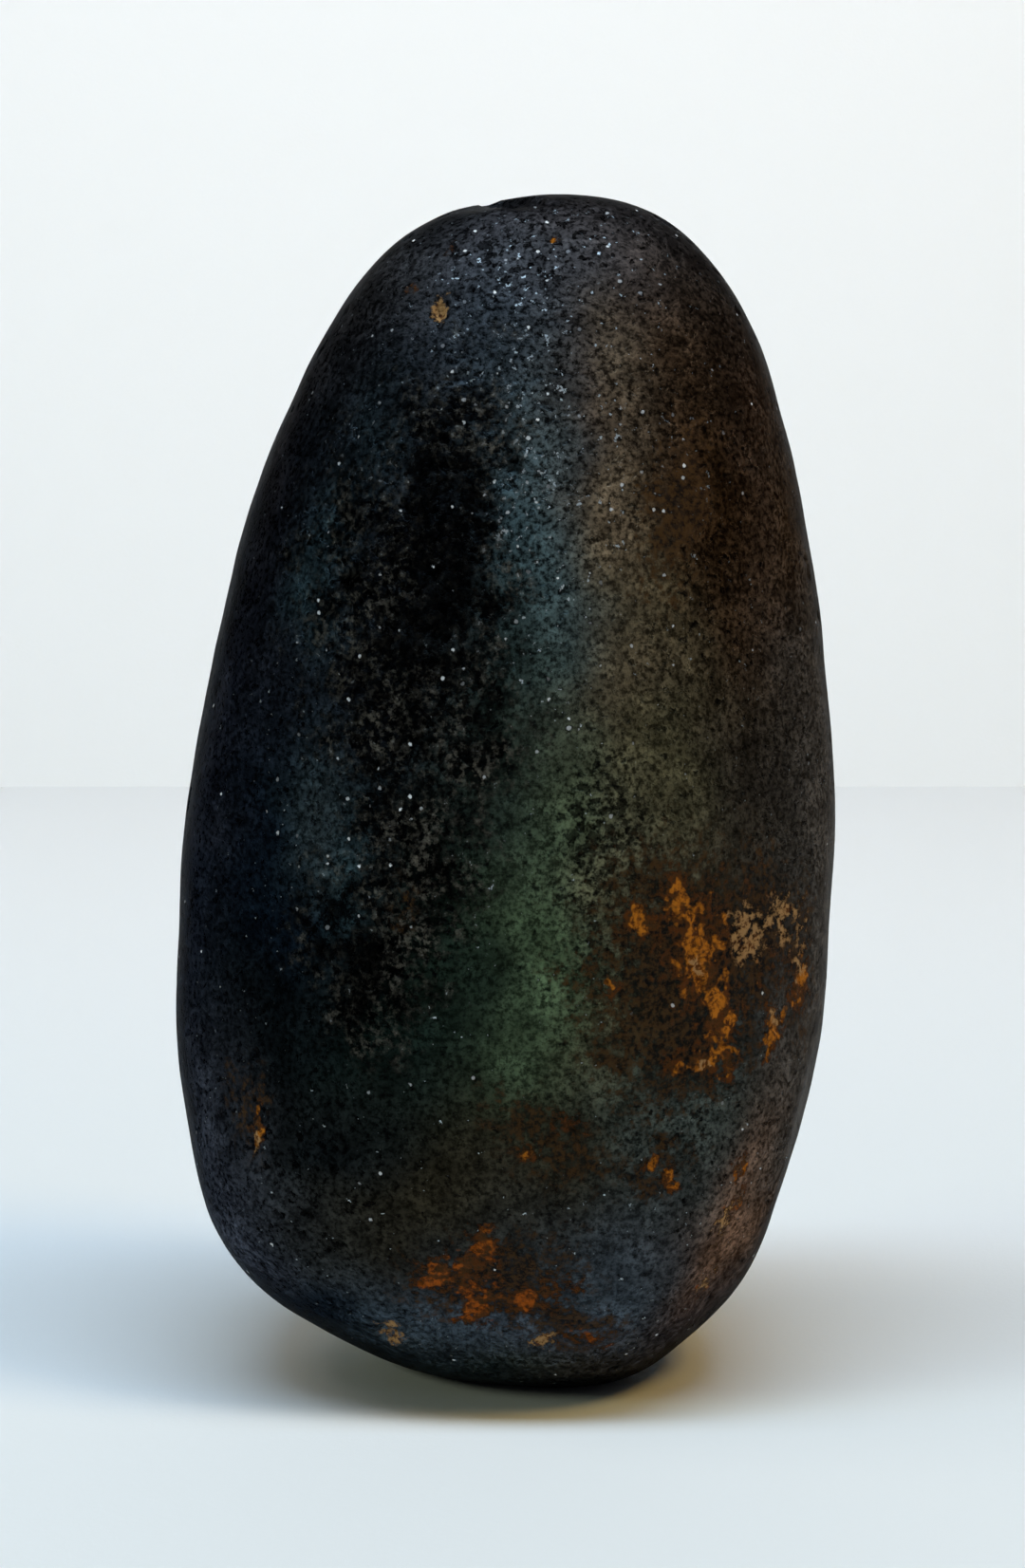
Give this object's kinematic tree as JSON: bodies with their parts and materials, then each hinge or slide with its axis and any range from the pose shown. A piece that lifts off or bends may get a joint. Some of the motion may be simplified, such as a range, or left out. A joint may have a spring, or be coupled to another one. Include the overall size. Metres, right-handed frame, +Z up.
{
  "type": "hematite pebble specimen",
  "caption": "Tall, dark, water-worn iron ore pebble that stands on end on a small flat spot, with soft ridges, pits and rust spots.",
  "frame": {"origin": "on the surface that the stone stands on, below the middle of its width and depth", "axes": "+Z up along the stone's length, +X to the right and -Y towards the viewer as its ridged front is seen"},
  "size_m": [0.0506, 0.042, 0.09],
  "materials": {
    "hematite": "worn satin with a faint metallic glint, rough and black in one patch, rusty in small spots"
  },
  "bodies": {
    "root": {"stone": "hematite"}
  },
  "joints": []
}
